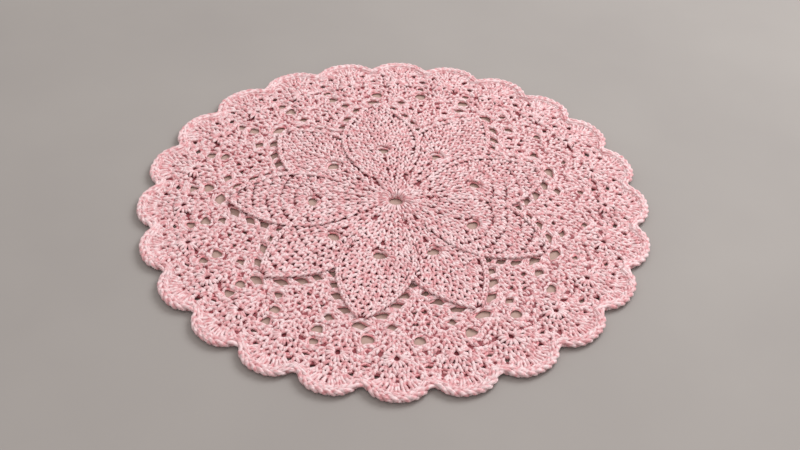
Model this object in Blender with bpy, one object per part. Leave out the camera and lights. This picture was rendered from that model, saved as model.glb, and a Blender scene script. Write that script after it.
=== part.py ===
# Round crocheted cotton doily: nine overlapping leaf petals round a ring, a belt of
# openwork, and twenty-four shells that end in a scalloped, braided rim.
# It is one cloth, so it is one solid: flat underneath, with its relief on top.
# Metres, +Z up. The origin is on the surface that the doily lies on, in the middle of
# its box; the ring is a little beside it, because the cloth is pulled out of round.

import math
import random
from collections import namedtuple

import bmesh
import bpy
from mathutils import Vector
from mathutils.geometry import delaunay_2d_cdt

# ---- driving dimensions -------------------------------------------------------------

tip_radius = 0.1293          # ring centre to the tip of a scallop
cloth_height = 0.0028        # two strands of yarn, one over the other
rim_edge_height = 0.0030     # outer face of the braid
rim_crest_height = 0.0044    # top of the braid
petal_lift = 0.0005          # a petal over the ground of the cloth
ridge_lift = 0.0012          # the chain along a petal's edge over the ground
ring_lift = 0.0010           # rolled lip round the ring hole
ring_place = Vector((-0.0010, 0.0016))

# Radii and insets below are shares of tip_radius, angles are in degrees from +X.
scallop_count = 24
first_scallop = 4.35         # angle of the first scallop tip
notch_depth = 0.058          # from a tip in to the notches beside it
notch_power = 2.6
rim_crest_inset = 0.018
rim_foot_inset = 0.041
rim_steps = 8                # points to a scallop on the outline, crest and foot
rim_crest_steps = 6
rim_foot_steps = 5

first_petal = 22.7           # angle of the first petal's axis
petal_start = 0.04           # nearest and furthest reach of a petal along its axis
petal_end = 0.658
petal_half_width = 0.152
petal_peak_power = 1.16      # moves the widest place outwards
petal_round_power = 0.8      # makes the leaf fuller
petal_bend_start = 0.33      # a petal's lean and reach act from here to the tip
ridge_outer_foot = 0.0095
ridge_inner_foot = 0.016
ridge_start = 0.13           # share of a petal's length where its ridge sets in
ridge_steps = 11

ring_hole_radius = 0.0255
ring_lip_radius = 0.047
ring_foot_radius = 0.098
ring_foot_steps = 18

ring_corners = 14
gap_corners = 8
small_gap_corners = 6
small_gap_width = 0.0050     # metres, narrower gaps have fewer corners
gap_size_spread = 0.08       # hand-made unevenness
gap_turn_spread = 7.0
relief_clearance = 0.0009    # metres, relief points keep this far from a gap's edge

# One row for each petal, by angle. The highest order lies on top of its neighbours,
# lean turns the tip counterclockwise, reach is the length against the plain petal.
Petal = namedtuple("Petal", "order lean reach")
petals = (
    Petal(3, 0.0, 0.955),
    Petal(1, -2.5, 1.0),
    Petal(6, 0.0, 1.0),
    Petal(0, -2.0, 0.97),
    Petal(8, -1.5, 1.0),
    Petal(2, 0.0, 1.0),
    Petal(5, 0.0, 1.0),
    Petal(4, 0.0, 1.0),
    Petal(7, -2.5, 0.975),
)
petal_pitch = 360 / len(petals)
scallop_pitch = 360 / scallop_count

# Open gaps wider than 4 mm. Side is the angle to the axis of the petal or the notch,
# width runs round the cloth and height outwards, in metres, and turn follows the edge.
GapRow = namedtuple("GapRow", "name side radius width height turn")
petal_gap_rows = (
    GapRow("eyelet", 0.0, 0.326, 0.0062, 0.0046, 0),
    GapRow("flank", 15.6, 0.530, 0.0056, 0.0040, -14),
    GapRow("shoulder", 12.0, 0.577, 0.0066, 0.0041, -18),
    GapRow("crown", 6.6, 0.630, 0.0070, 0.0043, -14),
    GapRow("tip", 0.0, 0.686, 0.0078, 0.0050, 0),
    GapRow("belt", 10.4, 0.680, 0.0050, 0.0040, -6),
)
petal_notch_row = GapRow("petal notch", 0.0, 0.480, 0.0042, 0.0042, 0)
shell_gap_rows = (
    GapRow("shell gap", -0.8, 0.742, 0.0056, 0.0052, 0),
    GapRow("shell slit", 0.0, 0.797, 0.0042, 0.0042, 0),
)


# ---- plan of the cloth --------------------------------------------------------------

def plan_point(angle, radius):
    """Place of a pattern point: the worked cloth is pulled a little out of round."""
    a = math.radians(angle)
    turn = (-2.0 * math.cos(a) + (1.3 - 2.2 * radius) * math.sin(a)
            + (0.4 + 1.4 * radius) * math.cos(2 * a)
            + (1.6 - 1.1 * radius) * math.sin(2 * a))
    stretch = (0.0055 * math.cos(a) - 0.004 * math.sin(a)
               + 0.0065 * math.cos(2 * a) + 0.0142 * math.sin(2 * a)
               - 0.0023 * math.cos(3 * a) + 0.008 * math.sin(3 * a)
               + 0.055 * (1 - radius) * math.sin(a))
    bearing = math.radians(angle + turn)
    reach = tip_radius * radius * (1 + stretch)
    return ring_place + Vector((reach * math.cos(bearing), reach * math.sin(bearing)))


def rim_radius(angle):
    """Outline of the scallops."""
    steps = (angle - first_scallop) / scallop_pitch
    across = 2 * abs(steps - round(steps))
    return 1 - notch_depth * across ** notch_power


def petal_growth(radius):
    """How much of a petal's lean and reach acts at a radius."""
    return max(0.0, radius - petal_bend_start) / (petal_end - petal_bend_start)


def petal_point(index, side, radius):
    """Pattern point at an angle to a petal's axis, with the petal's lean and reach."""
    petal = petals[index]
    growth = petal_growth(radius)
    angle = first_petal + petal_pitch * index + side + petal.lean * growth
    return angle, radius * (1 + (petal.reach - 1) * growth)


def leaf_half_width(along):
    """Half width of a plain petal at a distance along its axis."""
    share = (along - petal_start) / (petal_end - petal_start)
    if not 0 < share < 1:
        return 0.0
    return petal_half_width * math.sin(math.pi * share ** petal_peak_power) ** petal_round_power


def inside_petal(index, angle, radius):
    petal = petals[index]
    growth = petal_growth(radius)
    turn = math.radians(angle - first_petal - petal_pitch * index - petal.lean * growth)
    plain_radius = radius / (1 + (petal.reach - 1) * growth)
    along = plain_radius * math.cos(turn)
    return along > 0 and abs(plain_radius * math.sin(turn)) < leaf_half_width(along)


def cloth_lift(angle, radius):
    """Height of a petal over the ground of the cloth, or nothing between petals."""
    if any(inside_petal(index, angle, radius) for index in range(len(petals))):
        return petal_lift
    return 0.0


# ---- gaps ---------------------------------------------------------------------------

def gap_outline(centre_angle, centre_radius, row, turn, size):
    """Pattern points counterclockwise round one gap, a turned ellipse of few corners."""
    corners = small_gap_corners if row.width < small_gap_width else gap_corners
    tilt = math.radians(turn)
    points = []
    for corner in range(corners):
        step = 2 * math.pi * (corner + 0.5) / corners
        across = size * row.width / 2 * math.cos(step)
        outward = size * row.height / 2 * math.sin(step)
        side = across * math.cos(tilt) - outward * math.sin(tilt)
        out = across * math.sin(tilt) + outward * math.cos(tilt)
        angle = centre_angle - math.degrees(side / (tip_radius * centre_radius))
        points.append((angle, centre_radius + out / tip_radius))
    return points


def all_gaps():
    """The ring hole and every gap of the rows, each as a list of pattern points."""
    hand = random.Random(24)
    gaps = [[(360 * step / ring_corners, ring_hole_radius) for step in range(ring_corners)]]

    def add_gap(angle, radius, row, turn):
        size = 1 + hand.uniform(-gap_size_spread, gap_size_spread)
        uneven_turn = turn + hand.uniform(-gap_turn_spread, gap_turn_spread)
        gaps.append(gap_outline(angle, radius, row, uneven_turn, size))

    for index in range(len(petals)):
        for row in petal_gap_rows:
            for way in ((-1, 1) if row.side else (0,)):
                angle, radius = petal_point(index, way * row.side, row.radius)
                add_gap(angle, radius, row, -way * row.turn)
        between = first_petal + petal_pitch * (index + 0.5)
        add_gap(between, petal_notch_row.radius, petal_notch_row, 0)
    for index in range(scallop_count):
        between = first_scallop + scallop_pitch * (index + 0.5)
        for row in shell_gap_rows:
            add_gap(between + row.side, row.radius, row, 0)
    return gaps


def clear_of_gaps(point, gap_centres):
    """True where a relief point is not inside a gap or close to its edge."""
    return all((point - centre).length > reach + relief_clearance
               for centre, reach in gap_centres)


# ---- lines of the relief ------------------------------------------------------------

def rim_line(inset, lift, per_scallop):
    points = []
    for step in range(scallop_count * per_scallop):
        angle = first_scallop + scallop_pitch * step / per_scallop
        points.append((angle, rim_radius(angle) - inset, lift))
    return points


def ring_line(radius, lift, count):
    return [(360 * step / count, radius, lift) for step in range(count)]


def leaf_line(index, offset, lift):
    """One line along the visible part of a petal's edge, offset outwards from it."""
    small = 0.004
    points = []
    for step in range(1, ridge_steps + 1):
        share = ridge_start + (1 - ridge_start) * step / ridge_steps
        along = petal_start + (petal_end - petal_start) * share
        half = leaf_half_width(along)
        slope = math.atan2(leaf_half_width(along + small) - half, small)
        ways = (-1, 1)
        if step == ridge_steps:
            slope = -math.pi / 2
            ways = (1,)
        for way in ways:
            local_along = along - offset * math.sin(slope)
            local_side = way * (half + offset * math.cos(slope))
            side = math.degrees(math.atan2(local_side, local_along))
            angle, radius = petal_point(index, side, math.hypot(local_along, local_side))
            if not covered(index, angle, radius):
                points.append((angle, radius, lift))
    return points


def covered(index, angle, radius):
    """True where a higher petal lies over this place of a petal's edge."""
    higher = [other for other in range(len(petals)) if petals[other].order > petals[index].order]
    return any(inside_petal(other, angle, radius) for other in higher)


def relief_points():
    """Pattern points with their lift over the ground."""
    points = rim_line(rim_crest_inset, rim_crest_height - cloth_height, rim_crest_steps)
    points += rim_line(rim_foot_inset, 0.0, rim_foot_steps)
    points += ring_line(ring_lip_radius, ring_lift, ring_corners)
    points += ring_line(ring_foot_radius, petal_lift, ring_foot_steps)
    for index in range(len(petals)):
        points += leaf_line(index, 0.0, ridge_lift)
        for offset in (ridge_outer_foot, -ridge_inner_foot):
            for angle, radius, _ in leaf_line(index, offset, 0.0):
                points.append((angle, radius, cloth_lift(angle, radius)))
    return points


# ---- solid --------------------------------------------------------------------------

def flat_pattern():
    """Places, lifts and polygons in the plane: the outline, the gaps and the relief."""
    places = []
    lifts = []
    polygons = []
    gap_centres = []

    def add_polygon(points):
        first = len(places)
        for angle, radius, lift in points:
            places.append(plan_point(angle, radius))
            lifts.append(lift)
        polygons.append(list(range(first, len(places))))

    add_polygon(rim_line(0.0, rim_edge_height - cloth_height, rim_steps))
    for gap in all_gaps():
        add_polygon([(angle, radius, cloth_lift(angle, radius)) for angle, radius in gap])
        corners = [places[index] for index in polygons[-1]]
        centre = sum(corners, Vector((0.0, 0.0))) / len(corners)
        gap_centres.append((centre, max((corner - centre).length for corner in corners)))
    for angle, radius, lift in relief_points():
        place = plan_point(angle, radius)
        crowded = any((place - other).length < relief_clearance for other in places)
        if clear_of_gaps(place, gap_centres) and not crowded:
            places.append(place)
            lifts.append(lift)
    return places, lifts, polygons


def cloth_mesh():
    """The pattern as a sheet with its gaps left out, extruded up to its relief."""
    places, lifts, polygons = flat_pattern()
    corners, _, faces, sources, _, owners = delaunay_2d_cdt(places, [], polygons, 0, 1e-7)
    bm = bmesh.new()
    lift_layer = bm.verts.layers.float.new("lift")
    verts = []
    for corner, source in zip(corners, sources):
        vert = bm.verts.new((corner.x, corner.y, 0.0))
        vert[lift_layer] = lifts[source[0]]
        verts.append(vert)
    for face, polygons_round_it in zip(faces, owners):
        if list(polygons_round_it) == [0]:          # inside the outline and no gap
            bm.faces.new([verts[index] for index in face])
    loose = [vert for vert in verts if not vert.link_faces]
    bmesh.ops.delete(bm, geom=loose, context="VERTS")
    raised = bmesh.ops.extrude_face_region(bm, geom=bm.faces[:])["geom"]
    for item in raised:
        if isinstance(item, bmesh.types.BMVert):
            item.co.z = cloth_height + item[lift_layer]
    bmesh.ops.triangulate(bm, faces=bm.faces[:])
    bmesh.ops.recalc_face_normals(bm, faces=bm.faces[:])
    bm.verts.layers.float.remove(lift_layer)

    mesh = bpy.data.meshes.new("doily")
    bm.to_mesh(mesh)
    bm.free()
    mesh.shade_smooth()
    mesh.set_sharp_from_angle(angle=math.radians(35))
    return mesh


def cotton_material():
    material = bpy.data.materials.new("pink mercerised cotton")
    material.use_nodes = True
    shader = material.node_tree.nodes["Principled BSDF"]
    shader.inputs["Base Color"].default_value = (0.72, 0.33, 0.35, 1.0)
    shader.inputs["Roughness"].default_value = 0.75
    shader.inputs["Metallic"].default_value = 0.0
    return material


def main():
    for old in list(bpy.data.objects):
        bpy.data.objects.remove(old, do_unlink=True)
    group = bpy.data.collections.new("lace doily")
    bpy.context.scene.collection.children.link(group)
    doily = bpy.data.objects.new("doily", cloth_mesh())
    doily.data.materials.append(cotton_material())
    group.objects.link(doily)


main()
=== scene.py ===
import math
import random

import bmesh
import bpy
from mathutils import Matrix, Vector
from mathutils.geometry import delaunay_2d_cdt, intersect_point_line
from mathutils.kdtree import KDTree


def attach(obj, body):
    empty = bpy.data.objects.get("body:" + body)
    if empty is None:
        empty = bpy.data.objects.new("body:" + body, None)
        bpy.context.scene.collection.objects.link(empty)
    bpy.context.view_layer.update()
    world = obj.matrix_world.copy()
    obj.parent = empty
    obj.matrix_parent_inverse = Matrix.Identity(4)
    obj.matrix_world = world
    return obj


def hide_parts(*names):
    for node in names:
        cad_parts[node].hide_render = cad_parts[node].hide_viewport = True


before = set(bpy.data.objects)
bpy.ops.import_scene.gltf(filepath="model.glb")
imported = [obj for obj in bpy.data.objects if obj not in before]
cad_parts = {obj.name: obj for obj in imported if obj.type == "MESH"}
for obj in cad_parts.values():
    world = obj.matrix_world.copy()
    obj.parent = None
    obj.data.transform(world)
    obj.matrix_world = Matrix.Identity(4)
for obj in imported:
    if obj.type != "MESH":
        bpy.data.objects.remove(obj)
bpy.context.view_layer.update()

hand = random.Random(24)               # the maker's hand: every unevenness is drawn from it

# Plan of the cloth, as in the part. Radii are shares of tipRadius, angles are degrees.
cloth = {
    "tipRadius": 0.1293,
    "ringPlace": Vector((-0.0010, 0.0016)),
    "height": 0.0028,
    "petalLift": 0.0005,
    "ringLift": 0.0010,
    "ringLip": 0.047,
    "ringLipSpread": 0.022,
    "ringHole": 0.0255,
    "scallops": 24,
    "firstScallop": 4.35,
    "notchDepth": 0.058,
    "notchPower": 2.6,
    "firstPetal": 22.7,
    "petalStart": 0.04,
    "petalEnd": 0.658,
    "petalHalfWidth": 0.152,
    "petalPeakPower": 1.16,
    "petalRoundPower": 0.8,
    "petalBendStart": 0.33,
    "crown": 0.0005,                   # a petal is highest along its edge
    "crownFade": 0.035,
    "tuck": 0.0011,                    # it sinks where it goes under the next one
    "tuckReach": 0.030,
    "beltDip": 0.0006,
    "beltMiddle": 0.66,
    "beltSpread": 0.09,
    "shellPuff": 0.0009,
    "shellSink": 0.0004,
    "shellMiddle": 0.835,
    "shellSpread": 0.065,
}
# How high each petal lies among its neighbours, its lean in degrees, its reach and the
# groove in metres that sets off every second row.
petals = [
    {"order": 3, "lean": 0.0, "reach": 0.955, "groove": 0.0014},
    {"order": 1, "lean": -2.5, "reach": 1.0, "groove": 0.0006},
    {"order": 6, "lean": 0.0, "reach": 1.0, "groove": 0.0002},
    {"order": 0, "lean": -2.0, "reach": 0.97, "groove": 0.0002},
    {"order": 8, "lean": -1.5, "reach": 1.0, "groove": 0.0013},
    {"order": 2, "lean": 0.0, "reach": 1.0, "groove": 0.0008},
    {"order": 5, "lean": 0.0, "reach": 1.0, "groove": 0.0},
    {"order": 4, "lean": 0.0, "reach": 1.0, "groove": 0.0},
    {"order": 7, "lean": -2.5, "reach": 0.975, "groove": 0.0016},
]
petalPitch = 360 / len(petals)
scallopPitch = 360 / cloth["scallops"]
tips = [cloth["firstScallop"] + scallopPitch * number for number in range(cloth["scallops"])]
joints = [cloth["firstScallop"] + scallopPitch * (number + 0.5)
          for number in range(cloth["scallops"])]
yarn = {
    "radius": 0.00066,                 # double-knitting cotton pressed into a stitch
    "resolution": 1,                   # six sides
    "column": 0.0040,                  # two legs of a stitch side by side
    "row": 0.00278,
    "lowest": 0.0008,
}
halfColumn = yarn["column"] / 2


def share(metres):
    return metres / cloth["tipRadius"]


def degreesAt(metres, radius):
    return math.degrees(metres / (cloth["tipRadius"] * radius))


def planPoint(angle, radius):
    # the worked cloth is pulled a little out of round, by the same rule as the part
    a = math.radians(angle)
    turn = (-2.0 * math.cos(a) + (1.3 - 2.2 * radius) * math.sin(a)
            + (0.4 + 1.4 * radius) * math.cos(2 * a)
            + (1.6 - 1.1 * radius) * math.sin(2 * a))
    stretch = (0.0055 * math.cos(a) - 0.004 * math.sin(a)
               + 0.0065 * math.cos(2 * a) + 0.0142 * math.sin(2 * a)
               - 0.0023 * math.cos(3 * a) + 0.008 * math.sin(3 * a)
               + 0.055 * (1 - radius) * math.sin(a))
    bearing = math.radians(angle + turn)
    reach = cloth["tipRadius"] * radius * (1 + stretch)
    return cloth["ringPlace"] + Vector((reach * math.cos(bearing), reach * math.sin(bearing)))


def outwardAt(angle, radius):
    step = 0.01
    return (planPoint(angle, radius + step) - planPoint(angle, radius)).normalized()


def fromTip(angle):
    # 0 at a scallop's tip, 1 at the joint of two scallops
    steps = (angle - cloth["firstScallop"]) / scallopPitch
    return 2 * abs(steps - round(steps))


def rimRadius(angle):
    return 1 - cloth["notchDepth"] * fromTip(angle) ** cloth["notchPower"]


def petalGrowth(radius):
    start = cloth["petalBendStart"]
    return max(0.0, radius - start) / (cloth["petalEnd"] - start)


def petalPoint(index, side, radius):
    petal = petals[index]
    growth = petalGrowth(radius)
    angle = cloth["firstPetal"] + petalPitch * index + side + petal["lean"] * growth
    return angle, radius * (1 + (petal["reach"] - 1) * growth)


def petalPlace(index, along, across):
    # pattern angle and radius of a place on a petal, in shares of the tip radius
    side = math.degrees(math.atan2(across, along))
    return petalPoint(index, side, math.hypot(along, across))


def leafHalfWidth(along):
    part = (along - cloth["petalStart"]) / (cloth["petalEnd"] - cloth["petalStart"])
    if not 0 < part < 1:
        return 0.0
    swell = math.sin(math.pi * part ** cloth["petalPeakPower"])
    return cloth["petalHalfWidth"] * swell ** cloth["petalRoundPower"]


def insetInPetal(index, angle, radius):
    # how far a place is inside a petal's edge, in shares of the tip radius
    petal = petals[index]
    growth = petalGrowth(radius)
    turn = angle - cloth["firstPetal"] - petalPitch * index - petal["lean"] * growth
    turn = math.radians((turn + 180) % 360 - 180)
    plainRadius = radius / (1 + (petal["reach"] - 1) * growth)
    along = plainRadius * math.cos(turn)
    return leafHalfWidth(along) - abs(plainRadius * math.sin(turn)) if along > 0 else -1.0


def insetsAbove(index, angle, radius):
    # how far a place is inside each petal that lies over this one
    return [insetInPetal(other, angle, radius) for other in range(len(petals))
            if petals[other]["order"] > petals[index]["order"]]


def topPetal(angle, radius):
    # the petal that lies on top at a place, or None between petals
    inside = [index for index in range(len(petals)) if insetInPetal(index, angle, radius) > 0]
    return max(inside, key=lambda index: petals[index]["order"]) if inside else None


def edgeOutside(angle, radius):
    # how far a place is outside the nearest petal
    return -max(insetInPetal(index, angle, radius) for index in range(len(petals)))


def shellSwell(angle, radius):
    # each shell is puffed up round its eyelet and sinks at its joints
    across = fromTip(angle)
    along = math.exp(-((radius - cloth["shellMiddle"]) / cloth["shellSpread"]) ** 2)
    return along * (cloth["shellPuff"] * math.cos(math.pi / 2 * across) ** 2
                    - cloth["shellSink"] * across ** 4)


def clothTop(angle, radius):
    # height of the cloth's face, without the chains along its edges
    lip = math.exp(-((radius - cloth["ringLip"]) / cloth["ringLipSpread"]) ** 2)
    height = cloth["height"] + cloth["ringLift"] * lip
    index = topPetal(angle, radius)
    if index is None:
        dip = math.exp(-((radius - cloth["beltMiddle"]) / cloth["beltSpread"]) ** 2)
        return height - cloth["beltDip"] * dip + shellSwell(angle, radius)
    inset = insetInPetal(index, angle, radius)
    crown = cloth["crown"] * math.exp(-inset / cloth["crownFade"])
    tuck = max([0.0] + [1 + over / cloth["tuckReach"] for over in insetsAbove(index, angle, radius)
                        if over > -cloth["tuckReach"]])
    return height + cloth["petalLift"] + crown - cloth["tuck"] * tuck


print("plan ready")

# Gaps: degrees off the middle line, radius, width round the cloth and height outwards in
# metres, and the degrees that turn it along the edge.
def gapRows(*rows):
    return [dict(zip(("side", "radius", "width", "height", "turn"), row)) for row in rows]


petalGaps = gapRows(
    (0.0, 0.326, 0.0062, 0.0046, 0),
    (15.6, 0.530, 0.0056, 0.0040, -14),
    (12.0, 0.577, 0.0066, 0.0041, -18),
    (6.6, 0.630, 0.0070, 0.0043, -14),
    (0.0, 0.686, 0.0078, 0.0050, 0),
    (10.4, 0.680, 0.0050, 0.0040, -6),
)
petalNotchGap = gapRows((0.0, 0.480, 0.0042, 0.0042, 0))[0]
shellGaps = gapRows(
    (-0.8, 0.742, 0.0056, 0.0052, 0),
    (0.0, 0.797, 0.0042, 0.0042, 0),
)
# Openings too small for the solid: they show as dark places between the stitches, in real shade where
# the ground is cut and in the ground's painted shade where it is not.
shellSmallGap = gapRows((0.0, 0.858, 0.0032, 0.0020, 0))[0]
tipSmallGaps = gapRows(
    (0.0, 0.820, 0.0018, 0.0018, 0),
    (4.5, 0.898, 0.0021, 0.0019, 0),
    (0.0, 0.912, 0.0014, 0.0013, 0),
    (4.2, 0.806, 0.0018, 0.0018, 0),
    (2.7, 0.757, 0.0015, 0.0014, 0),
)
petalSmallGaps = gapRows(
    (0.0, 0.190, 0.0011, 0.0026, 0),
    (0.0, 0.258, 0.0012, 0.0030, 0),
    (14.6, 0.637, 0.0030, 0.0012, 0),
    (18.3, 0.612, 0.0021, 0.0015, 0),
    (18.0, 0.668, 0.0024, 0.0014, 0),
    (4.8, 0.704, 0.0018, 0.0012, 0),
)
# Slits beside the petals' edges, where one petal comes out from under the next.
edgeSlits = {"places": (0.120, 0.165, 0.210, 0.255), "outside": 0.008, "width": 0.0010,
             "height": 0.0027}
# how square each kind is: 1 is a lozenge, 2 an ellipse
gapPowers = {"belt": 1.35, "notch": 1.5, "eyelet": 1.8, "shell": 2.2, "small": 2.0}
# Gaps beside these scallops are pulled nearly shut by the stitches round them.
closedGaps = [
    {"row": 1, "scallops": (17, 18, 19, 20, 21, 22), "size": 0.40, "kind": "small"},
    {"row": 0, "scallops": (22, 23, 0, 1, 2, 3), "size": 0.62, "kind": "shell"},
    {"row": 1, "scallops": (23, 0, 1, 2, 3, 6), "size": 0.45, "kind": "small"},
]
pinHoles = {"count": 110, "from": 0.11, "to": 0.92, "least": 0.0004, "most": 0.0011,
            "inPetals": 0.5, "rimInset": 0.05, "apart": 0.0045, "stretch": 1.3}
gapHand = {"sizeSpread": 0.08, "turnSpread": 7.0, "wobble": 0.20, "eyeletWobble": 0.4,
           "lobes": 3,
           "aside": 0.001}             # a place this far beside it gives a gap its direction
gaps = []


def addGap(angle, radius, row, turn, kind):
    size = 1 + hand.uniform(-gapHand["sizeSpread"], gapHand["sizeSpread"])
    tilt = math.radians(turn + hand.uniform(-gapHand["turnSpread"], gapHand["turnSpread"]))
    centre = planPoint(angle, radius)
    across = (planPoint(angle - degreesAt(gapHand["aside"], radius), radius) - centre).normalized()
    outward = (planPoint(angle, radius + share(gapHand["aside"])) - centre).normalized()
    gaps.append({
        "kind": kind,
        "angle": angle,
        "radius": radius,
        "centre": centre,
        "across": math.cos(tilt) * across + math.sin(tilt) * outward,
        "outward": math.cos(tilt) * outward - math.sin(tilt) * across,
        "width": size * row["width"],
        "height": size * row["height"],
        "power": gapPowers[kind],
        "wobble": gapHand["wobble"] * hand.uniform(0, gapHand["eyeletWobble"]
                                                   if kind == "eyelet" else 1),
        "phase": hand.uniform(0, 2 * math.pi),
    })


def addPetalGap(index, row, kind):
    for way in ((-1, 1) if row["side"] else (0,)):
        angle, radius = petalPoint(index, way * row["side"], row["radius"])
        addGap(angle, radius, row, -way * row["turn"], kind)


for index in range(len(petals)):
    for number, row in enumerate(petalGaps):
        addPetalGap(index, row, "belt" if number else "eyelet")
    between = cloth["firstPetal"] + petalPitch * (index + 0.5)
    addGap(between, petalNotchGap["radius"], petalNotchGap, 0, "notch")
for index, between in enumerate(joints):
    for number, row in enumerate(shellGaps):
        addGap(between + row["side"], row["radius"], row, 0, "shell")
        for closed in closedGaps:
            if closed["row"] == number and index in closed["scallops"]:
                gaps[-1]["kind"] = closed["kind"]
                gaps[-1]["width"] *= closed["size"]
                gaps[-1]["height"] *= closed["size"]
for index in range(len(petals)):
    for row in petalSmallGaps:
        addPetalGap(index, row, "small")
    for along in edgeSlits["places"]:
        half = leafHalfWidth(along) + edgeSlits["outside"]
        for way in (-1, 1):
            angle, radius = petalPlace(index, along, way * half)
            onTop = topPetal(angle, radius)
            if onTop is None or petals[onTop]["order"] < petals[index]["order"]:
                addGap(angle, radius, edgeSlits, 0, "small")
for tip in tips:
    addGap(tip + scallopPitch / 2, shellSmallGap["radius"], shellSmallGap, 0, "small")
    for row in tipSmallGaps:
        for way in ((-1, 1) if row["side"] else (0,)):
            addGap(tip + way * row["side"], row["radius"], row, 0, "small")


def treeOf(places):
    tree = KDTree(len(places))
    for index, place in enumerate(places):
        tree.insert((place[0], place[1], 0), index)
    tree.balance()
    return tree


# Pinholes where stitches meet, clear of the other gaps; the ground under them is not cut, so its
# painted shade shows in them.
gapTree = treeOf([gap["centre"] for gap in gaps])
for _ in range(pinHoles["count"]):
    angle = hand.uniform(0, 360)
    radius = math.sqrt(hand.uniform(pinHoles["from"] ** 2, pinHoles["to"] ** 2))
    size = hand.uniform(pinHoles["least"], pinHoles["most"])
    if topPetal(angle, radius) is not None:
        size *= pinHoles["inPetals"]
    place = planPoint(angle, radius)
    inside = radius < rimRadius(angle) - pinHoles["rimInset"]
    if inside and gapTree.find(place.to_3d())[2] > pinHoles["apart"]:
        addGap(angle, radius, {"width": size, "height": size * pinHoles["stretch"]}, 0, "small")
gapTree = treeOf([gap["centre"] for gap in gaps])


def gapShape(gap, across, outward):
    # how far a place given in half widths is out: 1 on the edge, which is a little out of true
    reach = (abs(across) ** gap["power"] + abs(outward) ** gap["power"]) ** (1 / gap["power"])
    turn = gapHand["lobes"] * math.atan2(outward, across) + gap["phase"]
    return reach / (1 + gap["wobble"] * math.cos(turn))


def gapReach(gap, point, margin):
    # below 1 inside a gap that is widened by a margin
    offset = point - gap["centre"]
    return gapShape(gap, offset.dot(gap["across"]) / (gap["width"] / 2 + margin),
                    offset.dot(gap["outward"]) / (gap["height"] / 2 + margin))


def gapEdge(gap, turn, margin):
    # place on a gap's edge: a lens in the belt, where chains span it, else a round
    across, outward = math.cos(turn), math.sin(turn)
    reach = gapShape(gap, across, outward)
    return (gap["centre"] + gap["across"] * (gap["width"] / 2 + margin) * across / reach
            + gap["outward"] * (gap["height"] / 2 + margin) * outward / reach)


openKinds = ("belt", "eyelet", "notch", "shell")
# how far stitches are pushed out of a gap, in yarn radii
partedBy = {"belt": 1.4, "notch": 1.2, "eyelet": 1.5, "shell": 1.1, "small": 0.6}
# Reach is 1 on a gap's edge: a place from near to far is pushed to between 1 and 1 + push.
parting = {"near": 0.01, "from": 0.5, "far": 1.6, "push": 0.6, "clearance": 0.8, "gaps": 2}
nearGaps = 3                           # how many gaps round a place are looked at


def clearOfGaps(point, margin=0.0, kinds=openKinds + ("small",)):
    for _, index, _ in gapTree.find_n(point.to_3d(), nearGaps):
        if gaps[index]["kind"] in kinds and gapReach(gaps[index], point, margin) < 1:
            return False
    return True


def partedPoint(point):
    # stitches part round a gap: a place in it or near it moves outwards
    for _, index, _ in gapTree.find_n(point.to_3d(), parting["gaps"]):
        gap = gaps[index]
        margin = yarn["radius"] * partedBy[gap["kind"]]
        reach = gapReach(gap, point, margin)
        if parting["near"] < reach < parting["far"]:
            beyond = max(0.0, reach - parting["from"]) / (parting["far"] - parting["from"])
            wanted = 1 + parting["push"] * beyond
            point = gap["centre"] + (point - gap["centre"]) * (wanted / reach)
    return point


def offSmallGaps(start, end):
    # a whole stitch moves off the small gaps beside it, so that it crosses none
    move = Vector((0, 0))
    for _, index, _ in gapTree.find_n(((start + end) / 2).to_3d(), nearGaps):
        gap = gaps[index]
        if gap["kind"] == "small":
            _, part = intersect_point_line(gap["centre"], start, end)
            offset = start.lerp(end, min(max(part, 0), 1)) - gap["centre"]
            reach = gapReach(gap, gap["centre"] + offset, 0)
            wanted = offset.length / reach + yarn["radius"] * parting["clearance"]
            if offset.length < wanted:
                move += offset.normalized() * (wanted - offset.length)
    return move


print("gaps", len(gaps))

# Strands. A strand is a list of points, each with its share of the yarn's radius.
strands = {name: [] for name in ("yarnRing", "yarnPetals", "yarnBelt", "yarnShells",
                                 "yarnEdges", "yarnRim", "yarnBack")}
# Shapes: across in half columns, along in rows, height in yarn radii, thickness in yarn radii.
veeLeg = ((0.08, -0.22, -1.5, 0.80), (0.22, 0.10, -0.3, 1.18), (0.48, 0.42, 0.0, 1.28),
          (0.70, 0.74, -0.2, 1.18), (0.80, 1.06, -1.4, 0.82))
longLeg = ((0.10, -0.20, -1.25, 0.82), (0.24, 0.12, -0.25, 1.14), (0.50, 0.46, 0.0, 1.24),
           (0.70, 0.78, -0.2, 1.14), (0.80, 1.08, -1.2, 0.84))
post = ((0.05, -0.06, -1.6, 0.85), (0.0, 0.10, -0.4, 1.10), (0.06, 0.36, 0.0, 1.20),
        (-0.06, 0.66, 0.0, 1.20), (0.0, 0.92, -0.4, 1.05), (-0.05, 1.06, -1.6, 0.85))
dash = ((0.0, -0.12, -1.5, 0.85), (0.10, 0.22, -0.1, 1.20), (-0.08, 0.72, -0.1, 1.20),
        (0.0, 1.12, -1.5, 0.85))
backBar = {"height": 0.00085, "thickness": 1.15, "bow": 0.0004, "sunk": 0.00140}
backBarPath = ((-1.05, 0), (0, 1), (1.05, 0))
postSize = {"bend": 0.002, "bar": 0.0014}
unevenness = {"lean": 0.00026, "shift": 0.00016, "stray": 0.00022, "lift": 0.00016,
              "thickness": (0.90, 1.10), "chain": (0.94, 1.05)}


def waver(size):
    # up to a size either way
    return hand.uniform(-1, 1) * size


def stray(size):
    return Vector((hand.uniform(-1, 1), hand.uniform(-1, 1))) * size


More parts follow.
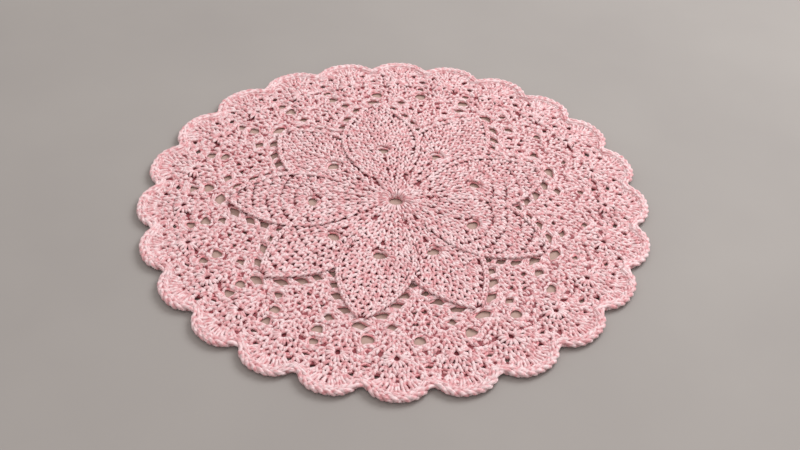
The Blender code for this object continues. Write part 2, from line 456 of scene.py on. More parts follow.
def layStrand(piece, shape, base, ahead, top, halfWidth, way=1, thickness=1.0, parted=True):
    # lays a shape from its base to the place ahead, where the next stitch starts
    up = ahead - base
    side = Vector((up.y, -up.x)).normalized() * halfWidth * way
    move = offSmallGaps(base + side * shape[0][0], ahead + side * shape[-1][0])
    points = []
    for across, along, height, fat in shape:
        place = base + up * along + side * across + move
        if parted:
            place = partedPoint(place)
        fat *= thickness
        z = top + (height - fat) * yarn["radius"]
        points.append((*place, max(z, yarn["lowest"]), fat))
    middles = [Vector((start[0] + end[0], start[1] + end[1])) / 2
               for start, end in zip(points, points[1:])]
    if not parted or all(clearOfGaps(middle, 0.0, openKinds) for middle in middles):
        strands[piece].append(points)


def layBackBar(base, ahead, halfWidth, top):
    # a stitch's bar fills the hollow between its legs; another shows on the cloth's back
    up = ahead - base
    side = Vector((up.y, -up.x)).normalized() * halfWidth
    base = base + offSmallGaps(base - side, base + side)
    for height in (backBar["height"], top - backBar["sunk"]):
        points = []
        for across, bow in backBarPath:
            place = partedPoint(base + side * across + up.normalized() * backBar["bow"] * bow)
            points.append((*place, height, backBar["thickness"]))
        strands["yarnBack"].append(points)


def layVee(piece, base, ahead, top, thickness=1.0, leg=veeLeg):
    # one stitch: two legs that open outwards, and its bar
    lean = stray(unevenness["lean"])
    shift = stray(unevenness["shift"])
    base = base + shift + lean
    ahead = ahead + shift - lean
    for way in (-1, 1):
        lift = waver(unevenness["lift"])
        layStrand(piece, leg, base, ahead + stray(unevenness["stray"]), top + lift, halfColumn,
                  way, thickness * hand.uniform(*unevenness["thickness"]))
    layBackBar(base, ahead, halfColumn, top)


def layPost(piece, base, ahead, top, thickness):
    way = hand.choice((-1, 1))
    lift = waver(unevenness["lift"]) / 2
    layStrand(piece, post, base, ahead, top + lift, postSize["bend"], way, thickness)
    layBackBar(base, ahead, postSize["bar"], top)


# Ring: posts worked over its rolled lip.
ring = {"posts": 28, "from": 0.0315, "to": 0.072, "stray": 0.15, "thin": 0.85, "gain": 0.35,
        "backs": (0.045, 0.054, 0.063), "backSteps": 24, "backSunk": 0.0020,
        "backThickness": 1.3}
# along a post, and height in metres
ringShape = ((-0.02, 0.0010), (0.03, 0.0019), (0.14, 0.0028), (0.32, 0.0033), (0.62, 0.0029),
             (0.95, 0.0021), (1.08, 0.0014))
for index in range(ring["posts"]):
    angle = 360 * (index + hand.uniform(-ring["stray"], ring["stray"])) / ring["posts"]
    points = []
    for along, height in ringShape:
        place = planPoint(angle, ring["from"] + (ring["to"] - ring["from"]) * along)
        points.append((*place, height, ring["thin"] + ring["gain"] * along))
    strands["yarnRing"].append(points)
for radius in ring["backs"]:
    points = []
    for step in range(ring["backSteps"] + 2):
        place = planPoint(360 * step / ring["backSteps"], radius)
        points.append((*place, clothTop(0, radius) - ring["backSunk"],
                       ring["backThickness"]))
    strands["yarnRing"].append(points)

# Petals: columns of stitches that run out from the ring and close in on the tip.
edge = {"from": 0.19, "to": 0.657, "link": 0.0028, "halfWidth": 0.0012, "thickness": 0.85,
        "lift": 0.0012, "steps": 240, "leastSteps": 3}
petalFill = {
    "from": 0.068,
    "to": 0.345,
    "innerRow": 0.0030,
    "blocks": (0.14, 0.20, 0.27, 0.345),
    "focus": 0.230,                    # the rows of the outer half bow round this place
    "firstBow": 0.120,
    "lastBow": 0.425,
    "bowSpread": 82,
    "bowRow": 0.00290,
    "columns": 8,
    "taper": 0.03,
    "thickness": 0.97,
    "edgeMargin": 0.0013,              # beside an edge with its chain, and beside a bare one
    "bareMargin": 0.0005,
    "gapMargin": 0.0001,
}
# posts round the outer side of a petal's eyelet
fan = {"from": 0.0034, "to": 0.0074, "clear": 0.0068, "sidePosts": 5, "turn": 17, "stray": 3,
       "faceOut": 0.03, "thickness": 0.95}
rowShare = share(yarn["row"])
innerRow = share(petalFill["innerRow"])
blockEnds = [block - 0.001 for block in petalFill["blocks"]]        # rounding stays inside


def petalColumn(number, radius):
    # distance of a column from the petal's axis, fanned near the ring
    for block, end in zip(petalFill["blocks"], blockEnds):
        if radius < end:
            return number * yarn["column"] * radius / (block - petalFill["taper"])
    return number * yarn["column"]


def petalEye(index):
    # pattern angle and radius of a petal's eyelet, its place and the way outwards
    angle, radius = petalPoint(index, 0, petalGaps[0]["radius"])
    return angle, radius, planPoint(angle, radius), outwardAt(angle, radius)


def layPetalVee(index, start, end, leg):
    # one stitch of a petal between two places given along and across, unless it lies outside
    angle, radius = petalPlace(index, (start[0] + end[0]) / 2, (start[1] + end[1]) / 2)
    margin = share(petalFill["edgeMargin" if radius > edge["from"] else "bareMargin"])
    if topPetal(angle, radius) != index or insetInPetal(index, angle, radius) < margin:
        return
    base = planPoint(*petalPlace(index, *start))
    ahead = planPoint(*petalPlace(index, *end))
    middle = (base + ahead) / 2
    if not clearOfGaps(middle, petalFill["gapMargin"], openKinds):
        return
    _, _, eye, outward = petalEye(index)
    if (middle - eye).length < fan["clear"] and (middle - eye).dot(outward) > 0:
        return
    layVee("yarnPetals", base, ahead, clothTop(angle, radius), petalFill["thickness"], leg)


for index in range(len(petals)):
    # columns from the ring to the eyelet
    radius = petalFill["from"]
    while radius < petalFill["to"]:
        shift = 0.5 * (sum(radius >= end for end in blockEnds) % 2)
        for number in range(-petalFill["columns"], petalFill["columns"] + 1):
            column = number + shift
            across = share(petalColumn(column, radius))
            fromFocus = math.hypot(radius - petalFill["focus"], across)
            turned = math.degrees(math.atan2(abs(across), radius - petalFill["focus"]))
            if fromFocus > petalFill["firstBow"] and turned < petalFill["bowSpread"]:
                continue
            slope = across / radius if radius < blockEnds[-1] else 0
            layPetalVee(index, (radius, across), (radius + innerRow, across + slope * innerRow),
                        longLeg)
        radius += innerRow
    # bowed rows from the eyelet to the tip
    reach = petalFill["firstBow"]
    row = 0
    while reach < petalFill["lastBow"]:
        step = share(yarn["column"]) / (reach + rowShare / 2)
        length = share(petalFill["bowRow"])
        most = int(math.radians(petalFill["bowSpread"]) / step)
        shift = hand.uniform(-0.5, 0.5)
        for number in range(-most, most + 1):
            turn = (number + shift) * step
            ends = [(petalFill["focus"] + far * math.cos(turn), far * math.sin(turn))
                    for far in (reach, reach + length)]
            layPetalVee(index, ends[0], ends[1], veeLeg)
        reach += length + share(petals[index]["groove"]) * (row % 2)
        row += 1
    # posts fan out round the outer side of the eyelet
    eyeAngle, eyeRadius, eye, outward = petalEye(index)
    for step in range(-fan["sidePosts"], fan["sidePosts"] + 1):
        turn = fan["turn"] * step + hand.uniform(-fan["stray"], fan["stray"])
        turned = Matrix.Rotation(math.radians(turn), 2) @ outward
        layPost("yarnPetals", eye + turned * fan["from"], eye + turned * fan["to"],
                clothTop(eyeAngle, eyeRadius + fan["faceOut"]), fan["thickness"])
print("petals", len(strands["yarnPetals"]))

# Shells: the place of each shell's apex and eyelet, its columns, and the posts of its eyelet.
shell = {
    "apex": 0.700, "eyelet": 0.820, "columnsFrom": 0.0020, "columnsTo": 0.036, "spread": 128,
    "leastColumns": 3, "leastReach": 0.004, "jointMargin": 0.0006, "gapMargin": 0.0001,
    "rimFoot": 0.031, "thickness": 1.09, "postsFrom": 0.0017, "postsTo": 0.0058, "posts": 13,
    "postSpread": 240, "postStray": {"turn": 5, "length": 0.0008, "end": 0.0004},
    "postClear": {"length": 0.0050, "turn": 128},
}
# The last row's posts stand on a bunched base and open to the rim; they are shorter at the sides.
lastRow = {
    "posts": 14, "length": 0.0054, "rimInset": 0.036, "topSpread": 0.90, "baseSpread": 0.44,
    "sideSpread": 0.22, "sideShort": 0.45, "runOut": 0.0022, "sideRunOut": 0.7, "lift": 0.0002,
    "thickness": 1.02, "stray": {"place": 0.2, "base": 0.0006, "top": 0.0005},
}

# Belt: filling between the petals' tips, with chains that span its gaps.
belt = {"from": 0.440, "to": 0.735, "edgeMargin": 0.0016, "gapMargin": 0.0007,
        "joint": 0.040}                # how much further it reaches at the shells' joints
radius = belt["from"]
row = 0
while radius < belt["to"] - rowShare / 2:
    nextRadius = radius + rowShare
    count = round(2 * math.pi * (belt["from"] + rowShare * (row - row % 2))
                  * cloth["tipRadius"] / yarn["column"])
    for number in range(count):
        angle = 360 * (number + 0.5 * (row // 2 % 2)) / count
        if edgeOutside(angle, radius + rowShare / 2) < share(belt["edgeMargin"]):
            continue
        if radius + rowShare / 2 > shell["apex"] + belt["joint"] * fromTip(angle):
            continue
        base = planPoint(angle, radius)
        ahead = planPoint(angle, nextRadius)
        if not clearOfGaps((base + ahead) / 2, belt["gapMargin"], openKinds):
            continue
        layVee("yarnBelt", base, ahead, clothTop(angle, radius))
    radius = nextRadius
    row += 1
print("belt", len(strands["yarnBelt"]))


# Chains: links of two legs each, along the gaps of the belt, the petals' edges and the joints.
def evenLine(points, link):
    # places a link apart along a dense line
    line = [points[0]]
    travelled = 0.0
    for start, end in zip(points, points[1:]):
        travelled += (end - start).length
        if travelled >= link:
            line.append(end)
            travelled = 0.0
    return line


def layChain(piece, dense, top, chain, parted=False):
    line = evenLine(dense, chain["link"])
    for start, end in zip(line, line[1:]):
        for way in (-1, 1):
            layStrand(piece, veeLeg, start, end, top, chain["halfWidth"], way,
                      chain["thickness"] * hand.uniform(*unevenness["chain"]), parted)


span = {"link": 0.0062, "halfWidth": 0.0009, "thickness": 0.8075, "overhang": 0.0032,
        "rise": 2.1, "steps": 40, "flatness": 0.7}
for gap in gaps:
    if gap["kind"] != "belt":
        continue
    reach = gap["width"] / 2 + span["overhang"]
    rise = gap["height"] / 2 + yarn["radius"] * span["rise"]
    for way in (-1, 1):
        dense = []
        for step in range(span["steps"] + 1):
            across = -reach + 2 * reach * step / span["steps"]
            bow = max(0.0, math.cos(math.pi / 2 * across / reach)) ** span["flatness"]
            dense.append(gap["centre"] + gap["across"] * across + gap["outward"] * way * rise * bow)
        layChain("yarnBelt", dense, clothTop(gap["angle"], shell["apex"]), span)

# Collars: short strands that lie along the edges of the gaps between the shells.
collar = {"margin": {"shell": 0.0010, "notch": 0.0010, "eyelet": 0.0014}, "strand": 0.0030,
          "overlap": 1.2, "spread": 0.0006, "slope": 3, "rise": 0.4, "sunk": 0.0009}
# along a strand, height and thickness in yarn radii
collarShape = ((-0.5, -1.0, 0.85), (-1 / 6, 0.0, 1.2), (1 / 6, 0.0, 1.2), (0.5, -1.0, 0.85))
for gap in gaps:
    if gap["kind"] not in collar["margin"]:
        continue
    count = round(math.pi * (gap["width"] + gap["height"]) / 2 / collar["strand"]) + 1
    first = hand.uniform(0, 2 * math.pi)
    for number in range(count):
        points = []
        margin = collar["margin"][gap["kind"]] + waver(collar["spread"])
        slant = waver(collar["spread"]) * collar["slope"]
        lift = hand.uniform(-1, collar["rise"]) * unevenness["lift"]
        for along, rise, fat in collarShape:
            turn = first + 2 * math.pi * (number + collar["overlap"] * along) / count
            place = gapEdge(gap, turn, margin + slant * along)
            z = cloth["height"] - collar["sunk"] + lift + (rise - fat) * yarn["radius"]
            points.append((*place, max(z, yarn["lowest"]), fat))
        strands["yarnEdges"].append(points)

# A strand of yarn runs round the wall of every larger gap, and of the hole in the ring.
wall = {"height": 0.00085, "steps": 14, "margin": 1.4, "shellMargin": 1.0}
ringHole = {"kind": "ring", "centre": planPoint(0, 0), "across": Vector((1, 0)),
            "outward": Vector((0, 1)), "power": 2.0, "wobble": 0, "phase": 0,
            "width": 2 * cloth["ringHole"] * cloth["tipRadius"],
            "height": 2 * cloth["ringHole"] * cloth["tipRadius"]}
for gap in gaps + [ringHole]:
    if gap["kind"] == "small":
        continue
    margin = yarn["radius"] * wall["shellMargin" if gap["kind"] == "shell" else "margin"]
    points = []
    for step in range(wall["steps"]):
        place = gapEdge(gap, 2 * math.pi * step / wall["steps"], margin)
        points.append((*place, wall["height"], 1.0))
    strands["yarnBack"].append(points + points[:2])

# Petal edges: a raised chain where the edge isn't under another petal.
for index in range(len(petals)):
    for way in (-1, 1):
        stretches = [[]]
        for step in range(edge["steps"]):
            along = edge["from"] + (edge["to"] - edge["from"]) * step / edge["steps"]
            angle, radius = petalPlace(index, along, way * leafHalfWidth(along))
            if max(insetsAbove(index, angle, radius), default=-1) > 0:
                stretches.append([])
            else:
                stretches[-1].append(planPoint(angle, radius))
        for dense in stretches:
            if len(dense) > edge["leastSteps"]:
                layChain("yarnEdges", dense, cloth["height"] + edge["lift"], edge)
print("edges", len(strands["yarnEdges"]))

# Shells: columns fan out from the apex of each shell; posts burst from its eyelet.
for tip in tips:
    eyeAlong = (planPoint(tip, shell["eyelet"]) - planPoint(tip, shell["apex"])).length

    def shellPlace(turn, reach, start=0.0):
        # pattern place at a turn and reach from a start that lies outwards of the apex
        radius = shell["apex"] + share(start + reach * math.cos(turn))
        return tip + degreesAt(reach * math.sin(turn), radius), radius

    reach = shell["columnsFrom"]
    while reach < shell["columnsTo"]:
        spread = math.radians(shell["spread"])
        columns = spread * max(reach, shell["leastReach"]) / yarn["column"]
        count = max(shell["leastColumns"], round(columns))
        for number in range(count):
            turn = spread * ((number + 0.5) / count - 0.5)
            middle = reach + yarn["row"] / 2
            angle, radius = shellPlace(turn, middle)
            if abs(angle - tip) > scallopPitch / 2 - degreesAt(shell["jointMargin"], radius):
                continue
            side = abs(angle - tip) / (scallopPitch / 2)
            row = share(lastRow["length"]) * (1 - lastRow["sideRunOut"] * side ** 2)
            if radius > rimRadius(angle) - shell["rimFoot"] - row:
                continue
            base = planPoint(*shellPlace(turn, reach))
            ahead = planPoint(*shellPlace(turn, reach + yarn["row"]))
            if not clearOfGaps((base + ahead) / 2, shell["gapMargin"], openKinds):
                continue
            fromEye = Vector((middle * math.sin(turn), middle * math.cos(turn) - eyeAlong))
            eyeTurn = abs(math.degrees(math.atan2(fromEye.x, fromEye.y)))
            if fromEye.length < shell["postClear"]["length"] and eyeTurn < shell["postClear"]["turn"]:
                continue
            layVee("yarnShells", base, ahead, clothTop(angle, radius), shell["thickness"])
        reach += yarn["row"]
    for number in range(shell["posts"]):
        turn = math.radians(shell["postSpread"] * (number / (shell["posts"] - 1) - 0.5)
                            + waver(shell["postStray"]["turn"]))
        far = shell["postsTo"] + waver(shell["postStray"]["length"])
        base = planPoint(*shellPlace(turn, shell["postsFrom"], eyeAlong))
        ahead = planPoint(*shellPlace(turn, far, eyeAlong)) + stray(shell["postStray"]["end"])
        layPost("yarnShells", base, ahead, clothTop(tip, shell["eyelet"]), 1.0)
    for number in range(lastRow["posts"]):
        strayed = number + 0.5 + waver(lastRow["stray"]["place"])
        place = 2 * strayed / lastRow["posts"] - 1
        across = place * scallopPitch / 2
        topAngle = tip + across * lastRow["topSpread"]
        baseAngle = tip + across * (lastRow["baseSpread"] + lastRow["sideSpread"] * abs(place))
        topRadius = rimRadius(topAngle) - lastRow["rimInset"]
        length = share(lastRow["length"]) * (1 - lastRow["sideShort"] * place ** 2)
        base = planPoint(baseAngle, topRadius - length)
        ahead = planPoint(topAngle, topRadius)
        runOut = lastRow["runOut"] * (1 - lastRow["sideRunOut"] * place ** 2)
        ahead += (ahead - base).normalized() * runOut
        layPost("yarnShells", base + stray(lastRow["stray"]["base"]),
                ahead + stray(lastRow["stray"]["top"]),
                clothTop(topAngle, topRadius) + lastRow["lift"], lastRow["thickness"])

# Bridges: short chains that lie across the joint of two shells, between its gaps.
bridge = {"radii": (0.771, 0.822, 0.836, 0.884, 0.908), "stray": 0.004, "halfSpan": 0.0036,
          "steps": 12, "link": 0.0024, "halfWidth": 0.0008, "thickness": 0.85}
for between in joints:
    for radius in bridge["radii"]:
        half = degreesAt(bridge["halfSpan"], radius)
        strayed = radius + waver(bridge["stray"])
        dense = [planPoint(between + half * (2 * step / bridge["steps"] - 1), strayed)
                 for step in range(bridge["steps"] + 1)]
        layChain("yarnEdges", dense, clothTop(between, radius), bridge, True)
print("shells", len(strands["yarnShells"]))

# Rim: fat slanted strands that lean to the tip of each scallop, over a second row.
rim = {"perScallop": 8, "slopeStep": 0.4, "thicknessStray": 0.03}
# how far outside the outline, height in metres, and how many links along
rimOuterLeg = ((-0.0026, 0.0024, -0.35), (-0.0024, 0.0031, -0.05), (-0.0019, 0.0033, 0.35),
               (-0.0013, 0.0030, 0.75), (-0.0012, 0.0023, 1.10), (-0.0017, 0.0015, 1.40))
rimInnerLeg = ((-0.0025, 0.0022, -0.25), (-0.0028, 0.0031, 0.05), (-0.0034, 0.0035, 0.45),
               (-0.0038, 0.0034, 0.85), (-0.0037, 0.0027, 1.20), (-0.0032, 0.0018, 1.40))
rimFootLeg = ((-0.0040, 0.0022, -0.20), (-0.0044, 0.0026, 0.15), (-0.0047, 0.0027, 0.50),
              (-0.0046, 0.0026, 0.85), (-0.0041, 0.0021, 1.15))
rimUnderLeg = ((-0.0030, 0.0012, 0.0), (-0.0023, 0.0012, 0.3), (-0.0021, 0.0010, 0.7),
               (-0.0024, 0.0009, 1.0), (-0.0032, 0.0009, 1.2))
# two strands that lie under the last row's posts
rimFirstBack = ((-0.0047, 0.0018, -0.1), (-0.0049, 0.0019, 0.5), (-0.0047, 0.0018, 1.1))
rimSecondBack = ((-0.0062, 0.0016, -0.1), (-0.0064, 0.0017, 0.5), (-0.0062, 0.0016, 1.1))
# each with its thickness in yarn radii
rimStrands = ((rimOuterLeg, 1.58), (rimInnerLeg, 1.25), (rimFootLeg, 1.20), (rimUnderLeg, 1.3),
              (rimFirstBack, 1.3), (rimSecondBack, 1.2))


def rimPlace(angle, outside):
    # a place in metres outside the outline
    behind, here, ahead = [planPoint(near, rimRadius(near)) for near in
                           (angle - rim["slopeStep"], angle, angle + rim["slopeStep"])]
    tangent = (ahead - behind).normalized()
    return here + Vector((tangent.y, -tangent.x)) * outside


linkPitch = scallopPitch / rim["perScallop"]
for tip in tips:
    for number in range(rim["perScallop"]):
        for leg, thickness in rimStrands:
            points = []
            for outside, height, along in leg:
                angle = tip + (number + along - rim["perScallop"] / 2) * linkPitch
                place = rimPlace(angle, outside)
                fat = thickness * (1 + waver(rim["thicknessStray"]))
                points.append((*place, height, fat))
            strands["yarnRim"].append(points)
print("rim", len(strands["yarnRim"]))

# Patches: a place still bare gets a short stitch of its own.
patch = {"grid": 0.0013, "bare": 0.00118, "apart": 0.0020, "length": 0.0028, "from": 0.078,
         "rimInset": 0.030, "gapMargin": 0.0001, "swing": 40, "bend": 0.001, "sunk": 0.0001}
laid = [point for name in strands if name != "yarnBack" for points in strands[name]
        for point in points]
laidTree = treeOf(laid)
patched = []
radius = patch["from"]
while radius < 1 - patch["rimInset"]:
    count = int(2 * math.pi * radius * cloth["tipRadius"] / patch["grid"])
    for number in range(count):
        angle = 360 * number / count
        if radius > rimRadius(angle) - patch["rimInset"]:
            continue
        place = planPoint(angle, radius)
        if laidTree.find(place.to_3d())[2] < patch["bare"]:
            continue
        if not clearOfGaps(place, patch["gapMargin"]):
            continue
        if any((place - other).length < patch["apart"] for other in patched):
            continue
        patched.append(place)
        swing = math.radians(hand.uniform(-patch["swing"], patch["swing"]))
        along = Matrix.Rotation(swing, 2) @ outwardAt(angle, radius) * patch["length"]
        layStrand("yarnEdges", dash, place - along / 2, place + along / 2,
                  clothTop(angle, radius) - patch["sunk"], patch["bend"])
        layBackBar(place, place + along, halfColumn, clothTop(angle, radius))
    radius += share(patch["grid"])
print("patches", len(patched))


# Colours.
def linear(code):
    # sRGB hex to linear
    parts = [int(code[start:start + 2], 16) / 255 for start in (1, 3, 5)]
    return tuple(part / 12.92 if part <= 0.04045 else ((part + 0.055) / 1.055) ** 2.4
                 for part in parts) + (1.0,)


def addNode(tree, kind, settings, links):
    # one node with its settings and links; a socket goes by its name or its number
    node = tree.nodes.new(kind)
    for name, value in settings.items():
        if name == "stops":
            for element, (position, colour) in zip(node.color_ramp.elements, value):
                element.position = position
                element.color = linear(colour)
        elif isinstance(name, int) or name in node.inputs:
            node.inputs[name].default_value = value
        else:
            setattr(node, name, value)
    for name, source in links.items():
        tree.links.new(source, node.inputs[name])
    return node


def addMaterial(name, surface):
    # a material with its surface's settings, and its parts
    material = bpy.data.materials.new(name)
    material.use_nodes = True
    shader = material.node_tree.nodes["Principled BSDF"]
    for socket, value in surface.items():
        shader.inputs[socket].default_value = value
    return material, material.node_tree, shader


# Mercerised cotton: combed, spun and singed, so it is smooth, with a silky sheen along the ply.
cottonSurface = {"Roughness": 0.52, "Specular IOR Level": 0.40, "Sheen Weight": 0.15,
                 "Sheen Roughness": 0.45}
cottonYarn = {
    "light": "#EBD0D2",
    "deep": "#D6969A",
    "shadedLight": "#EDB9BB",            # the same yarn under the stitches, painted a deeper pink as the shade that falls there
    "shadedDeep": "#DC8B91",
    "tuftSize": 0.0022,
    "tuftDark": 0.36,
    "tuftPale": 0.60,
    "plyPitch": 0.0026,
    "plies": 3,
    "plyDepth": 0.00040,
    "plyStrength": 0.9,
}


def makeYarnCotton(name, light, deep):
    material, tree, shader = addMaterial(name, cottonSurface)
    place = addNode(tree, "ShaderNodeTexCoord", {}, {})
    tuft = addNode(tree, "ShaderNodeTexNoise",
                   {"Scale": 1 / cottonYarn["tuftSize"], "Detail": 3.0},
                   {"Vector": place.outputs["Object"]})
    colour = addNode(tree, "ShaderNodeValToRGB",
                     {"stops": ((cottonYarn["tuftDark"], deep), (cottonYarn["tuftPale"], light))},
                     {"Fac": tuft.outputs["Fac"]})
    tree.links.new(colour.outputs["Color"], shader.inputs["Base Color"])
    # plies wind round the strand: turns along it plus the way round it
    parts = addNode(tree, "ShaderNodeSeparateXYZ", {}, {"Vector": place.outputs["UV"]})
    around = addNode(tree, "ShaderNodeMath", {"operation": "MULTIPLY", 1: cottonYarn["plies"]},
                     {0: parts.outputs["X"]})
    wound = addNode(tree, "ShaderNodeMath",
                    {"operation": "MULTIPLY_ADD", 1: 1 / cottonYarn["plyPitch"]},
                    {0: parts.outputs["Y"], 2: around.outputs[0]})
    ply = addNode(tree, "ShaderNodeMath", {"operation": "PINGPONG", 1: 0.5},
                  {0: wound.outputs[0]})
    relief = addNode(tree, "ShaderNodeBump",
                     {"Strength": cottonYarn["plyStrength"], "Distance": cottonYarn["plyDepth"]},
                     {"Height": ply.outputs[0]})
    tree.links.new(relief.outputs["Normal"], shader.inputs["Normal"])
    return material


# The same cotton deep between the stitches, painted dark red as the shade it lies in, darker lower
# down; it shows fibres, no plies.
paintedShadeCotton = {"deep": "#8A3E45", "back": "#7C363D", "deepHeight": 0.0014, "backHeight": 0.0008,
              "fibreSize": 0.0022, "fibreDepth": 0.0004, "fibreStrength": 0.6}


def makePaintedShadeCotton():
    material, tree, shader = addMaterial("cotton behind the stitches in painted shade", cottonSurface)
    place = addNode(tree, "ShaderNodeTexCoord", {}, {})
    parts = addNode(tree, "ShaderNodeSeparateXYZ", {}, {"Vector": place.outputs["Object"]})
    # painted shade: the colour darkens from the ground's top face downwards
    shadeByHeight = addNode(tree, "ShaderNodeMapRange",
                    {"From Min": paintedShadeCotton["backHeight"], "From Max": paintedShadeCotton["deepHeight"]},
                    {"Value": parts.outputs["Z"]})
    colour = addNode(tree, "ShaderNodeValToRGB",
                     {"stops": ((0.0, paintedShadeCotton["back"]), (1.0, paintedShadeCotton["deep"]))},
                     {"Fac": shadeByHeight.outputs["Result"]})
    tree.links.new(colour.outputs["Color"], shader.inputs["Base Color"])
    fibre = addNode(tree, "ShaderNodeTexVoronoi", {"Scale": 1 / paintedShadeCotton["fibreSize"]},
                    {"Vector": place.outputs["Object"]})
    relief = addNode(tree, "ShaderNodeBump", {"Strength": paintedShadeCotton["fibreStrength"],
                                              "Distance": paintedShadeCotton["fibreDepth"]},
                     {"Height": fibre.outputs["Distance"]})
    tree.links.new(relief.outputs["Normal"], shader.inputs["Normal"])
    return material


yarnCotton = makeYarnCotton("pink mercerised cotton yarn", cottonYarn["light"],
                            cottonYarn["deep"])
shadedYarnCotton = makeYarnCotton("pink cotton yarn in painted shade under the stitches", cottonYarn["shadedLight"],
                            cottonYarn["shadedDeep"])
clothShadeCotton = makePaintedShadeCotton()


def addObject(name, data):
    item = bpy.data.objects.new(name, data)
    bpy.context.scene.collection.objects.link(item)
    return item


def addMesh(name, bm, material):
    mesh = bpy.data.meshes.new(name)
    bm.to_mesh(mesh)
    bm.free()
    mesh.materials.append(material)
    return addObject(name, mesh)


# Yarn: the strands become round tubes.
weldDistance = 1e-7


def makeYarn(name):
    curve = bpy.data.curves.new(name, "CURVE")
    curve.dimensions = "3D"
    curve.bevel_depth = yarn["radius"]
    curve.bevel_resolution = 0 if name == "yarnBack" else yarn["resolution"]
    curve.use_fill_caps = True
    sides = 4 + 2 * curve.bevel_resolution                     # of every tube
    lengths = []
    for points in strands[name]:
        spline = curve.splines.new("POLY")
        spline.points.add(len(points) - 1)
        spline.points.foreach_set("co", [value for x, y, z, _ in points for value in (x, y, z, 1)])
        spline.points.foreach_set("radius", [thickness for _, _, _, thickness in points])
        spline.use_smooth = True
        places = [Vector(point[:3]) for point in points]
        length = sum((end - start).length for start, end in zip(places, places[1:]))
        lengths += [length] * (sides * (len(points) + 2))      # two more rings for the caps
    holder = addObject(name + "Curve", curve)
    evaluated = holder.evaluated_get(bpy.context.evaluated_depsgraph_get())
    mesh = bpy.data.meshes.new_from_object(evaluated)
    bpy.data.objects.remove(holder, do_unlink=True)
    # the map's second number becomes metres along the strand
    corners = [0] * len(mesh.loops)
    mesh.loops.foreach_get("vertex_index", corners)
    values = [0.0] * (2 * len(corners))
    layer = mesh.uv_layers[0]
    layer.data.foreach_get("uv", values)
    for number, vertex in enumerate(corners):
        values[2 * number + 1] *= lengths[vertex]
    layer.data.foreach_set("uv", values)
    bm = bmesh.new()
    bm.from_mesh(mesh)
    bmesh.ops.remove_doubles(bm, verts=bm.verts[:], dist=weldDistance)     # closes the caps
    bm.to_mesh(mesh)
    bm.free()
    mesh.name = name
    mesh.materials.clear()
    # the strands under the stitches and round the gaps get the copy of the yarn with painted shade
    mesh.materials.append(shadedYarnCotton if name == "yarnBack" else yarnCotton)
    mesh.shade_smooth()
    piece = addObject(name, mesh)
    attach(piece, "root")
    print(name, len(strands[name]), "strands", sum(len(face.vertices) - 2 for face in mesh.polygons))
    return piece


yarnPieces = [makeYarn(name) for name in strands]

# Ground: the close cotton under the stitches' faces, in the dark red of painted shade, with every gap
# left out of it but the narrowest small ones.
ground = {"bottom": 0.0006, "top": 0.0014, "rimInset": 0.0022, "scallopSteps": 10,
          "corners": 16, "gapMargin": 0.0009, "smallCorners": 8, "smallMargin": 0.0003,
          "leastCut": 0.0020}


def makeGround():
    places = []
    polygons = []

    def addLoop(points):
        polygons.append(list(range(len(places), len(places) + len(points))))
        places.extend(points)

    steps = cloth["scallops"] * ground["scallopSteps"]
    addLoop([rimPlace(360 * step / steps, -ground["rimInset"]) for step in range(steps)])
    hole = cloth["ringHole"] + share(ground["gapMargin"])
    addLoop([planPoint(360 * step / ground["corners"], hole) for step in range(ground["corners"])])
    for gap in gaps:
        corners, margin = ground["corners"], ground["gapMargin"]
        if gap["kind"] == "small":
            corners, margin = ground["smallCorners"], ground["smallMargin"]
            # narrower small gaps stay closed, and the ground's painted shade shows in them
            if gap["width"] < ground["leastCut"]:
                continue
        addLoop([gapEdge(gap, 2 * math.pi * step / corners, margin) for step in range(corners)])
    corners, _, faces, _, _, owners = delaunay_2d_cdt(places, [], polygons, 0, weldDistance)
    inside = [face for face, owner in zip(faces, owners) if list(owner) == [0]]
    sides = [list(zip(face, face[1:] + face[:1])) for face in inside]
    ways = {way for around in sides for way in around}
    bm = bmesh.new()
    lower, upper = [[bm.verts.new((corner.x, corner.y, height)) for corner in corners]
                    for height in (ground["bottom"], ground["top"])]
    for face, around in zip(inside, sides):
        bm.faces.new([lower[index] for index in reversed(face)])
        bm.faces.new([upper[index] for index in face])
        for start, end in around:
            if (end, start) not in ways:       # no face lies beyond, so a wall stands here
                bm.faces.new((lower[start], lower[end], upper[end], upper[start]))
    loose = [vert for vert in bm.verts if not vert.link_faces]
    bmesh.ops.delete(bm, geom=loose, context="VERTS")
    area = sum(face.calc_area() for face in bm.faces) / 2
    piece = addMesh("clothGround", bm, clothShadeCotton)
    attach(piece, "root")
    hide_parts("doily")
    print("ground", len(piece.data.polygons), "area", round(area, 4))


# Honed stone: an even, pale, dull grey, a little cloudy. Under the cloth it gets a painted warm
# bounce light, which stands for the light that the cotton throws down and shows through the gaps.
floor = {"size": 12.0, "dark": "#918C89", "light": "#9F9A96", "cloudScale": 9.0,
         "bounceLight": "#AF958B", "castFrom": 0.118, "castFull": 0.106}


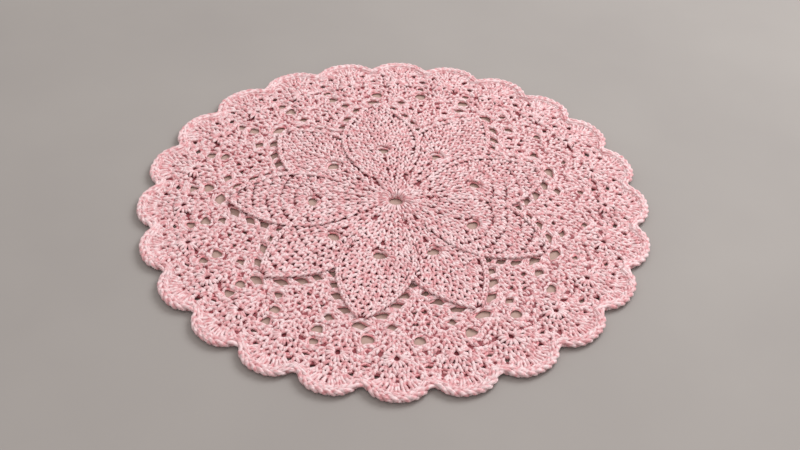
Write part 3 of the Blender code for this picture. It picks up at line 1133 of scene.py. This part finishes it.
def makeStone():
    material, tree, shader = addMaterial("honed pale stone", {"Roughness": 0.85})
    place = addNode(tree, "ShaderNodeTexCoord", {}, {})
    cloudy = addNode(tree, "ShaderNodeTexNoise", {"Scale": floor["cloudScale"], "Detail": 4.0},
                     {"Vector": place.outputs["Object"]})
    shade = addNode(tree, "ShaderNodeValToRGB",
                    {"stops": ((0.0, floor["dark"]), (1.0, floor["light"]))},
                    {"Fac": cloudy.outputs["Fac"]})
    # painted bounce light: full under the middle of the cloth, fading out towards its rim
    reach = addNode(tree, "ShaderNodeVectorMath", {"operation": "LENGTH"},
                    {"Vector": place.outputs["Object"]})
    under = addNode(tree, "ShaderNodeMapRange",
                    {"From Min": floor["castFrom"], "From Max": floor["castFull"]},
                    {"Value": reach.outputs["Value"]})
    colour = addNode(tree, "ShaderNodeMixRGB", {"Color2": linear(floor["bounceLight"])},
                     {"Fac": under.outputs["Result"], "Color1": shade.outputs["Color"]})
    tree.links.new(colour.outputs["Color"], shader.inputs["Base Color"])
    return material


bm = bmesh.new()
bmesh.ops.create_grid(bm, x_segments=1, y_segments=1, size=floor["size"] / 2)
floorPiece = addMesh("floor", bm, makeStone())
makeGround()
print("floor ready")

# Camera and light.
camera = {"lens": 46.37, "sensor": 36.0, "place": Vector((0.0020, -0.3990, 0.3440)),
          "elevation": 41.80, "roll": 3.976}
cameraData = bpy.data.cameras.new("camera")
cameraData.lens = camera["lens"]
cameraData.sensor_width = camera["sensor"]
cameraObject = addObject("camera", cameraData)
tilt = math.radians(camera["elevation"])
forward = Vector((0, math.cos(tilt), -math.sin(tilt)))
right = Vector((1, 0, 0))
up = right.cross(forward)
roll = math.radians(camera["roll"])
right, up = (math.cos(roll) * right + math.sin(roll) * up,
             -math.sin(roll) * right + math.cos(roll) * up)
cameraObject.matrix_world = (Matrix.Translation(camera["place"])
                             @ Matrix((right, up, -forward)).transposed().to_4x4())
bpy.context.scene.camera = cameraObject

lamps = [
    {"name": "window", "place": (0.56, 0.41, 0.78), "size": 0.54, "power": 7.9,
     "colour": "#FAFBFC"},
    {"name": "fill", "place": (-0.10, -0.45, 1.35), "size": 1.2, "power": 4.0, "colour": "#FBF7F7"},
]
for lamp in lamps:
    light = bpy.data.lights.new(lamp["name"], "AREA")
    light.size = lamp["size"]
    light.energy = lamp["power"]
    light.color = linear(lamp["colour"])[:3]
    lampObject = addObject(lamp["name"], light)
    lampObject.location = lamp["place"]
    lampObject.rotation_mode = "QUATERNION"
    lampObject.rotation_quaternion = (-Vector(lamp["place"])).to_track_quat("-Z", "Y")
sky = {"colour": "#EFEAE7", "strength": 0.76}
world = bpy.data.worlds.new("studio")
world.use_nodes = True
background = world.node_tree.nodes["Background"]
background.inputs["Color"].default_value = linear(sky["colour"])
background.inputs["Strength"].default_value = sky["strength"]
bpy.context.scene.world = world
bpy.context.scene.view_settings.view_transform = "Standard"
